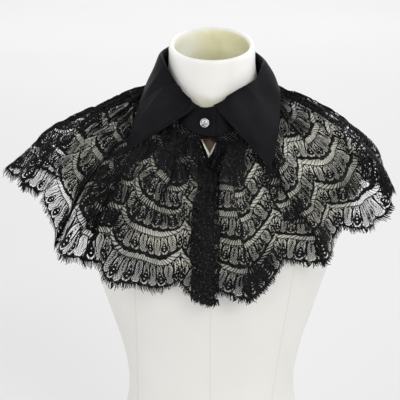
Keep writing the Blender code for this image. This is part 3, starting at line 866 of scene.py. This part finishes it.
def collar_stand(material):
    columns, rows = 150, 14
    ups = np.linspace(0, 1, rows)[:, None]
    length = stand.length(ups)
    start, end = -STAND_LEFT_END / length, 1 - STAND_RIGHT_END / length
    turns = start + (end - start) * np.linspace(0, 1, columns)
    points = stand_points(turns, ups + 0 * turns)
    points[..., 2] += SEAM_LIFT * (1 - ups)
    return shell("stand_cloth", points, STAND_WALL, material)


# Soft dents and creases in the fall: where, as shares along and down it, how long and wide, how far
# each leans along the fall for its whole depth, and how deep it is.
DENTS = table(
    "along down long wide lean depth",
    (0.15, 0.28, 0.015, 0.2, 0.14, 2.6), (0.118, 0.5, 0.018, 0.11, 0.07, -2.2),
    (0.172, 0.6, 0.013, 0.17, -0.06, 2.2), (0.06, 0.74, 0.024, 0.1, 0.05, 2),
    (0.095, 0.84, 0.018, 0.09, 0.02, -1), (0.215, 0.48, 0.014, 0.25, 0.03, -1.8),
    (0.25, 0.55, 0.018, 0.3, 0, 1.4), (0.905, 0.5, 0.018, 0.16, -0.06, -2.3),
    (0.85, 0.45, 0.015, 0.22, -0.03, 2), (0.958, 0.7, 0.018, 0.13, -0.05, 1.7),
    (0.985, 0.45, 0.016, 0.14, 0.03, -1.2), (0.78, 0.5, 0.018, 0.25, 0.02, -1.4),
    (0.35, 0.6, 0.034, 0.25, 0.05, -1.4), (0.47, 0.5, 0.026, 0.25, -0.04, 1.3),
    (0.58, 0.55, 0.036, 0.25, 0.03, -1.4), (0.68, 0.6, 0.026, 0.25, 0.03, 1.3),
)


def collar_fall(material):
    columns, rows = 190, 34
    along = np.linspace(0, 1, columns)
    at = np.linspace(0, 1, len(FALL["lift"]))
    line = {name: smooth(at, FALL[name], along)[:, None] for name in FALL}
    fold_turn = line["fold_turn"][:, 0]
    seam = stand_points(fold_turn, np.ones_like(fold_turn))
    seam[:, 2] += STAND_WALL / 2 + PIECE_GAP
    out = away_from_neck(seam)
    rolled = fade(np.minimum(along, 1 - along) / ROLL_TAPER)[:, None]
    ridge = seam + (0, 0, ROLL_UP) + out * ROLL_TOP_OUT
    shoulder = seam + (0, 0, ROLL_SHOULDER_UP) + out * ROLL_OUT
    place = line["edge_turn"][:, 0], line["edge_reach"][:, 0]
    edge = cape.point(*place) + cape.outward(*place) * line["lift"]
    to_front = np.cross(out, (0, 0, 1)) * np.sign(fold_turn - 0.5)[:, None]
    bow = line["sag"] * (to_front * SAG_FRONT - (0, 0, SAG_DOWN))
    bow = bow + line["swell"] * (out + (0, 0, 1))
    down = np.linspace(0, 1, FALL_ROWS)[:, None, None]
    hanging = shoulder * (1 - down) + edge * down + bow * 4 * down * (1 - down)
    lines = np.concatenate([[seam, ridge], hanging])

    # towards each front corner the roll gives way to an evenly bowed line
    share = np.linspace(0, 1, len(lines))
    even = seam + (lines[-1] - seam) * share[:, None, None]
    even = even + out * CORNER_OUT * np.sin(math.pi * share[:, None, None]) ** 0.5
    lines = even + (lines - even) * rolled
    finer = np.linspace(0, 1, rows)
    points = np.stack([smooth(share, lines[:, k, c], finer) for k in range(columns) for c in range(3)])
    points = points.reshape(columns, 3, rows).transpose(2, 0, 1)
    outward = unit(np.cross(np.gradient(points, axis=0), np.gradient(points, axis=1)))
    outward *= np.sign((outward * (points * (1, 1, 0))).sum(axis=-1, keepdims=True))
    dent = np.zeros((rows, columns))
    for a, d, long, wide, lean, depth in rows_of(DENTS):
        below = finer[:, None] - d
        dent += depth * np.exp(-(((along[None] - a - lean * below) / long) ** 2) - (below / wide) ** 2)
    points = points + outward * dent[..., None] * fade(finer * 4)[:, None, None]
    return shell("fall_cloth", points, FALL_WALL, material)


# The button's rings, as shares of its radius and its thickness.
GEM = table("radius height", (0.3, 0.97), (0.56, 0.88), (0.78, 0.72), (0.84, 0.62), (0.84, 0.05))
RIM = table(
    "radius height",
    (0.8, 0.05), (0.97, 0.05), (1, 0.2), (1, 0.5), (0.96, 0.66), (0.9, 0.7), (0.83, 0.62),
)
GEM_SIDES, RIM_SIDES = 18, 48


def turned(columns, sides, twist=0.0):
    """Points on the button's rings. Every second ring is turned by a share of a side."""
    rings = []
    for row, (radius, height) in enumerate(rows_of(columns)):
        angles = 2 * math.pi * (np.arange(sides) + twist * (row % 2)) / sides
        circled = [radius * BUTTON_RADIUS * np.cos(angles), radius * BUTTON_RADIUS * np.sin(angles)]
        rings.append(np.stack([*circled, np.full(sides, height * BUTTON_THICKNESS)], axis=1))
    return np.concatenate(rings)


def button(material, rim):
    """A domed button with a cut face and a thin bright rim."""
    turn = -BUTTON_X / stand.length(BUTTON_UP)
    step = BUTTON_RADIUS / stand.length(BUTTON_UP)
    turns = np.array([turn, turn - step, turn + step, turn, turn])
    ups = np.array([BUTTON_UP, BUTTON_UP, BUTTON_UP, 0, 1])
    middle, before, after, low, high = stand_points(turns, ups)
    facing = unit(np.cross(before - after, high - low))
    place = middle + facing * (STAND_WALL / 2 + BUTTON_GAP)
    rows = len(GEM["radius"])
    top = rows * GEM_SIDES
    faces = [(top, k, (k + 1) % GEM_SIDES) for k in range(GEM_SIDES)]
    faces.append(tuple(range(top - GEM_SIDES, top))[::-1])
    for k, (a, c, d, b) in enumerate(grid_faces(rows, GEM_SIDES, True)):
        faces += [(a, c, d), (a, d, b)] if k // GEM_SIDES % 2 else [(a, c, b), (b, c, d)]
    points = np.concatenate([turned(GEM, GEM_SIDES, 0.5), [(0, 0, BUTTON_THICKNESS)]])
    gem = link(mesh_of("button_face", points, faces, False), "button", material)
    faces = grid_faces(len(RIM["radius"]), RIM_SIDES, True)
    band = link(mesh_of("button_rim", turned(RIM, RIM_SIDES), faces), "button", rim)
    for one in (gem, band):
        one.location = Vector(place * MM)
        one.rotation_mode = "QUATERNION"
        one.rotation_quaternion = Vector(facing).to_track_quat("Z", "Y")
    return gem


# ---- the dress form
FORM_SINK = 0.9  # keeps the smooth form inside the faceted one
FORM_ROUNDING = 0.5  # in rows, over which the corners between the rows are rounded
FORM_ROWS = np.arange(len(FORM["front"]))
TOP_ROW = len(FORM_ROWS) - 1
FORM_ANGLES = np.linspace(0, 2 * math.pi, 144, endpoint=False)


def form_ring(level, inset=0.0):
    """Points round the form, at a level counted in rows of its table."""
    rounding = min(FORM_ROUNDING, level, TOP_ROW - level)
    near = [level + rounding * shift for shift in np.linspace(-1, 1, 7)]
    read = {name: np.mean(np.interp(near, FORM_ROWS, FORM[name])) for name in FORM}
    s, c = np.sin(FORM_ANGLES), np.cos(FORM_ANGLES)
    inset = inset + FORM_SINK
    depth = np.where(c > 0, read["front"], read["back"]) - inset
    z_end = np.where(c > 0, read["z_front"], read["z_back"])
    z = read["z_side"] + (z_end - read["z_side"]) * np.abs(c) ** read["bend"] + RIM_HEIGHT
    return np.stack([-(read["half_width"] - inset) * s, -depth * c, z], axis=-1)


# The rounded lip of the neck, from outside to inside: how far in, and how far down.
LIP = table(
    "inset drop",
    (0.1, 6), (0.4, 3.6), (1, 1.7), (2, 0.5), (3.2, 0), (4.4, 0), (5.6, 0.6), (6.6, 1.8), (7.3, 3.8),
    (7.7, 7),
)
LIP_NARROWER = 0.35  # at the front and the back, as a share
NECK_TAPER = 1.0  # how much narrower the neck gets towards its rim
NECK_TAPER_ROWS = 1.6
LIP_DEPTH = 1.2  # in rows of the form's table, over which the lip thins to the wall


def dress_form(skin, lining):
    """The hollow form: its outside, its rounded lip and its inside."""
    segments = len(FORM_ANGLES)
    rings = []
    for level in np.linspace(0, TOP_ROW, 96)[:-2]:
        rings.append(form_ring(level, NECK_TAPER * fade(1 + (level - TOP_ROW) / NECK_TAPER_ROWS)))
    rings[0][:, 2] = 0
    for inset, drop in rows_of(LIP):
        inward = NECK_TAPER + inset * (1 - LIP_NARROWER * np.cos(FORM_ANGLES) ** 2)
        rings.append(form_ring(TOP_ROW, inward) - (0, 0, drop))
    outer = (len(rings) - 2) * segments
    lip_end = TOP_ROW - LIP_DEPTH
    for level in np.r_[np.linspace(TOP_ROW - 0.45, lip_end, 8), np.linspace(lip_end - 0.2, 0.5, 70)]:
        thinned = fade(1 - (TOP_ROW - level) / LIP_DEPTH)
        rings.append(form_ring(level, FORM_WALL + (inward - FORM_WALL) * thinned))
    rings.append(form_ring(0.3, FORM_WALL))
    rings[-1][:, 2] = FORM_WALL
    total = len(rings) * segments
    base, floor = tuple(range(segments)), tuple(range(total - 1, total - segments - 1, -1))
    faces = [*grid_faces(len(rings), segments, True), base, floor]
    mesh = mesh_of("form_shell", np.concatenate(rings), faces)
    piece = link(mesh, "form", skin, lining)
    inner = [k >= outer and faces[k] is not base for k in range(len(faces))]
    mesh.polygons.foreach_set("material_index", inner)
    return piece


# ---- materials
class Look:
    """A material and the nodes that give its colour. Places on it are the piece's own, in metres,
    or those of the flat lace."""

    def __init__(self, name, roughness, flat=False, **values):
        self.material = bpy.data.materials.new(name)
        self.material.use_nodes = True
        self.tree = self.material.node_tree
        self.shader = self.tree.nodes["Principled BSDF"]
        for socket, value in {"Roughness": roughness, **values}.items():
            self.shader.inputs[socket.replace("_", " ")].default_value = value
        if flat:
            self.place = self.node("UVMap", uv_map="flat").outputs["UV"]
        else:
            self.place = self.node("TexCoord").outputs["Object"]

    def node(self, kind, **values):
        """A node, with its settings and what its sockets are given."""
        made = self.tree.nodes.new("ShaderNode" + kind)
        for name, value in values.items():
            if hasattr(made, name):
                setattr(made, name, value)
            else:
                self.give(made.inputs[name], value)
        return made

    def give(self, socket, value):
        if isinstance(value, bpy.types.NodeSocket):
            self.tree.links.new(value, socket)
        else:
            socket.default_value = value

    def noise(self, scale, detail, **values):
        return self.node("TexNoise", Vector=self.place, Scale=scale, Detail=detail, **values).outputs["Fac"]

    def waves(self, scale, direction, **values):
        values.update(Vector=self.place, Scale=scale, bands_direction=direction)
        return self.node("TexWave", **values).outputs["Fac"]

    def maths(self, operation, *values):
        made = self.node("Math", operation=operation)
        for socket, value in zip(made.inputs, values):
            self.give(socket, value)
        return made.outputs[0]

    def ramp(self, source, *stops):
        """Colours, or shares given as plain numbers, by the value of a source."""
        made = self.node("ValToRGB", Fac=source)
        marks = made.color_ramp.elements
        marks[0].position, marks[1].position = stops[0][0], stops[-1][0]
        for place, _ in stops[1:-1]:
            marks.new(place)
        for mark, (_, colour) in zip(marks, stops):
            mark.color = (*colour, 1) if isinstance(colour, tuple) else (colour, colour, colour, 1)
        return made.outputs["Color"]

    def paint(self, under, over, *shares):
        """Lays one colour over another by the product of the shares."""
        share = shares[0]
        for other in shares[1:]:
            share = self.maths("MULTIPLY", share, other)
        made = self.node("Mix", data_type="RGBA")
        for k, value in ((0, share), (6, under), (7, (*over, 1))):
            self.give(made.inputs[k], value)
        return made.outputs[2]

    def finish(self, colour, height=None, strength=1.0, distance=1.0):
        """Gives the shader its colour and its relief."""
        self.give(self.shader.inputs["Base Color"], colour)
        if height:
            made = self.node("Bump", Strength=strength, Distance=distance, Height=height)
            self.give(self.shader.inputs["Normal"], made.outputs["Normal"])
        return self.material


# Painted glint: the lightest specks in the thread's colour stand in for light glinting off it.
PAINTED_GLINT = (0.045, 0.045, 0.05)  # of the thread's smoother places


def lace_material(name, dark, light, rib):
    """Black thread, with ribs of it along the flat lace and painted glints on it."""
    look = Look(name, 0.5, flat=True, Specular_IOR_Level=0.07, Sheen_Weight=0.008, Sheen_Roughness=0.5)
    colour = look.ramp(look.noise(420.0, 3.0), (0.3, dark), (0.56, light), (0.72, PAINTED_GLINT))
    return look.finish(colour, look.waves(rib, "DIAGONAL", Distortion=1.2, Detail=1.0), 0.6, 0.0003)


def cotton_material():
    """Black cotton, a little worn, with a fine weave."""
    look = Look("black_cotton", 0.45, Specular_IOR_Level=0.085, Sheen_Weight=0.009, Sheen_Roughness=0.4)
    dark, light = (0.0006, 0.0006, 0.0012), (0.0055, 0.0053, 0.0075)
    colour = look.ramp(look.noise(22.0, 5.0), (0.35, dark), (0.65, light))
    weave = look.maths("ADD", *[look.waves(420.0, way, Distortion=0.6) for way in ("X", "Z")])
    return look.finish(colour, weave, 0.25, 0.0002)


# Faint mould lines down the form: x at the base and how far each leans for a metre of height.
MOULD_LINES = table("x lean", (-0.0915, 0), (-0.002, 0), (0.052, 0.13))
# A painted shadow under the stand's lower edge, dark brown and pointed below: its middle, its half width
# and how much slower it narrows downwards.
PAINTED_SHADOW_X = -0.0030
PAINTED_SHADOW_Z = 0.4945
PAINTED_SHADOW_SIZE = 0.0096
PAINTED_SHADOW_SLOPE = 0.62
# Painted shade along the collar, as an olive edge on the neck: its height at the front and how it rises to
# the sides.
PAINTED_SHADE_Z = 0.538
PAINTED_SHADE_SLOPE = 0.29


def skin_material():
    """Cream paint, with painted light that makes it brighter and warmer under the lace and paler at the
    sides of the neck.
    """
    look = Look("form_cream", 0.42)
    parts = look.node("SeparateXYZ", Vector=look.place)
    x, y, z = parts.outputs
    beside = look.maths("ABSOLUTE", x)
    colour = look.ramp(look.noise(9.0, 5.0), (0.35, (0.675, 0.667, 0.636)), (0.65, (0.71, 0.702, 0.672)))

    # painted light: the form is brighter and warmer under the lace, whose lower edge curves with it
    height = look.maths("MULTIPLY_ADD", look.maths("POWER", beside, 2.0), -2.1, z)
    height = look.maths("MULTIPLY_ADD", y, -0.3, height)
    painted_light_under_lace = look.ramp(height, (0.366, 0), (0.386, 1))
    colour = look.paint(colour, (0.98, 0.975, 0.84), painted_light_under_lace, look.ramp(z, (0.50, 1), (0.54, 0)))
    # painted light: the sides of the neck are paler, against the shade that the collar casts on them
    sides = look.ramp(look.maths("MULTIPLY", beside, 10.0), (0.22, 0), (0.5, 1))
    colour = look.paint(colour, (0.90, 0.89, 0.86), sides, look.ramp(z, (0.50, 0), (0.53, 1)))
    for at_base, lean in rows_of(MOULD_LINES):
        line = look.maths("MULTIPLY_ADD", z, lean, at_base)
        away = look.maths("ABSOLUTE", look.maths("SUBTRACT", x, line))
        near = look.ramp(look.maths("MULTIPLY", away, 100.0), (0.02, 0.35), (0.14, 0))
        colour = look.paint(colour, (0.57, 0.52, 0.35), near, look.ramp(z, (0.40, 1), (0.42, 0)))

    # painted shadow under the stand and painted shade along the collar, both at the front alone
    front = look.ramp(look.maths("MULTIPLY_ADD", y, 10.0, 1.0), (0.45, 1), (0.55, 0))
    # painted shadow: dark brown under the stand's lower edge, pointed below
    across = look.maths("ABSOLUTE", look.maths("SUBTRACT", x, PAINTED_SHADOW_X))
    down = look.maths("ABSOLUTE", look.maths("SUBTRACT", z, PAINTED_SHADOW_Z))
    away = look.maths("DIVIDE", look.maths("MULTIPLY_ADD", down, PAINTED_SHADOW_SLOPE, across), PAINTED_SHADOW_SIZE)
    colour = look.paint(colour, (0.047, 0.021, 0.005), look.ramp(away, (0.82, 1), (1, 0)), front)
    # painted shade: an olive edge on the neck along the collar
    height = look.maths("SUBTRACT", look.maths("MULTIPLY_ADD", beside, -PAINTED_SHADE_SLOPE, z), PAINTED_SHADE_Z)
    painted_shade_band = look.ramp(look.maths("MULTIPLY", height, 100.0), (0.0, 0.8), (0.75, 0))
    high = look.ramp(z, (0.52, 0), (0.53, 1))
    colour = look.paint(colour, (0.44, 0.43, 0.30), painted_shade_band, high, front)
    return look.finish(colour, look.noise(160.0, 3.0), 0.12, 0.0004)


def lining_material():
    """The unpainted inside, mottled olive and cream."""
    look = Look("form_inside", 0.5)
    patches = look.noise(14.0, 6.0, Distortion=0.8)
    fibres = look.noise(90.0, 4.0)
    olive, middle, cream = (0.62, 0.585, 0.34), (0.70, 0.68, 0.44), (0.80, 0.79, 0.62)
    colour = look.ramp(patches, (0.3, olive), (0.5, middle), (0.68, cream))
    colour = look.paint(colour, (0.56, 0.46, 0.22), look.ramp(fibres, (0.62, 0), (0.78, 0.5)))
    x = look.node("SeparateXYZ", Vector=look.place).outputs["X"]
    aside = look.maths("MULTIPLY", look.maths("MULTIPLY_ADD", patches, 0.11, x), 10.0)
    colour = look.paint(colour, (0.85, 0.85, 0.79), look.ramp(aside, (0.25, 0.8), (0.5, 0)))
    return look.finish(colour, fibres, 0.35, 0.001)


def crystal_material():
    look = Look("button_crystal", 0.12, Metallic=0.35)
    # painted sparkle: light and dark cells in the colour stand in for glints in the cut crystal
    cut = look.node("TexVoronoi", Vector=look.place, Scale=700.0).outputs
    dark, middle, light = (0.06, 0.06, 0.065), (0.30, 0.295, 0.305), (0.80, 0.79, 0.81)
    colour = look.ramp(cut["Color"], (0.2, dark), (0.5, middle), (0.8, light))
    return look.finish(colour, cut["Distance"], 0.5, 0.0004)


def rim_material():
    look = Look("button_silver", 0.2, Metallic=0.8)
    dark, light = (0.40, 0.395, 0.41), (0.62, 0.615, 0.64)
    return look.finish(look.ramp(look.noise(900.0, 2.0), (0.3, dark), (0.7, light)))


def paper_material():
    look = Look("floor_pale", 0.9)
    dark, light = (0.76, 0.76, 0.76), (0.79, 0.79, 0.79)
    return look.finish(look.ramp(look.noise(0.6, 2.0), (0.3, dark), (0.7, light)))


# ---- making everything
cloth_thread = lace_material("lace_clothwork", (0.0008, 0.0008, 0.001), (0.004, 0.0038, 0.0045), 180.0)
net_thread = lace_material("lace_net", (0.0015, 0.0012, 0.001), (0.006, 0.006, 0.0065), 400.0)
cotton = cotton_material()

cloth_charts, net_charts = [neckband()], []
for row in rows_of(TIERS):
    cloth_chart, net_chart = tier(*row, hem=row[3] == LACE_DEPTH)
    cloth_charts.append(cloth_chart)
    net_charts.append(net_chart)
lash_chart = lashes()

shell_piece = dress_form(skin_material(), lining_material())
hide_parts("dress_form")

for side, first, last in (("left", 0, 8), ("right", 9, 16)):
    lace, area = lay(f"lace_{side}_cloth", cloth_charts, first, last, cloth_thread)
    net, _ = lay(f"lace_{side}_net", net_charts, first, last, net_thread)
    edge, _ = lay(f"lace_{side}_lashes", [lash_chart], first, last, net_thread)
    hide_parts(f"lace_{side}")
    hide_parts(f"eyelash_{side}")

stand_cloth = collar_stand(cotton)
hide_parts("collar_stand")
fall_cloth = collar_fall(cotton)
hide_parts("collar_fall")
face = button(crystal_material(), rim_material())
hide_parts("button")

# ---- floor, light and camera
scene = bpy.context.scene
floor_mesh = bpy.data.meshes.new("floor")
floor_mesh.from_pydata([(-90, -90, 0), (90, -90, 0), (90, 90, 0), (-90, 90, 0)], [], [(0, 1, 2, 3)])
floor_mesh.materials.append(paper_material())
floor = bpy.data.objects.new("floor", floor_mesh)
scene.collection.objects.link(floor)

LAMPS = (  # the place and target of each in metres, its width and its power
    ("key", (1.5, -2.8, 2.0), (0, 0, 0.45), 1.5, 42),
    ("fill", (-2.0, -2.6, 1.8), (0, 0, 0.45), 1.8, 32),
    ("side_left", (-2.2, -0.6, 2.6), (0, 0, 0.5), 1.6, 13),
    ("side_right", (2.4, -0.3, 2.2), (0, 0, 0.45), 1.6, 26),
    ("backdrop", (0, 5.2, 4.2), (0, 5.8, 0), 5.0, 150),
)
for name, place, target, size, power in LAMPS:
    lamp = bpy.data.lights.new(name, "AREA")
    lamp.size = size
    lamp.energy = power
    lamp_object = bpy.data.objects.new(name, lamp)
    lamp_object.location = place
    lamp_object.rotation_euler = (Vector(target) - Vector(place)).to_track_quat("-Z", "Y").to_euler()
    scene.collection.objects.link(lamp_object)

scene.view_settings.view_transform = "Standard"
world = bpy.data.worlds.new("studio")
world.use_nodes = True
background = world.node_tree.nodes["Background"]
background.inputs["Color"].default_value = (1, 1, 1, 1)
background.inputs["Strength"].default_value = 0.57
scene.world = world

CAMERA_TARGET = Vector((-0.0144, 0, 0.406))
CAMERA_DISTANCE = 1.9
CAMERA_ELEVATION = math.radians(14)
PIXEL = 1.23  # millimetres of the object to a pixel, at the target
PICTURE = 400  # pixels
SENSOR = 36.0
camera_data = bpy.data.cameras.new("camera")
camera = bpy.data.objects.new("camera", camera_data)
scene.collection.objects.link(camera)
back = Vector((0, -math.cos(CAMERA_ELEVATION), math.sin(CAMERA_ELEVATION)))
camera.location = CAMERA_TARGET + back * CAMERA_DISTANCE
camera.rotation_euler = (-back).to_track_quat("-Z", "Y").to_euler()
camera_data.sensor_width = SENSOR
camera_data.lens = SENSOR * (CAMERA_DISTANCE / MM / PIXEL) / PICTURE
camera_data.clip_start = 0.05
scene.camera = camera
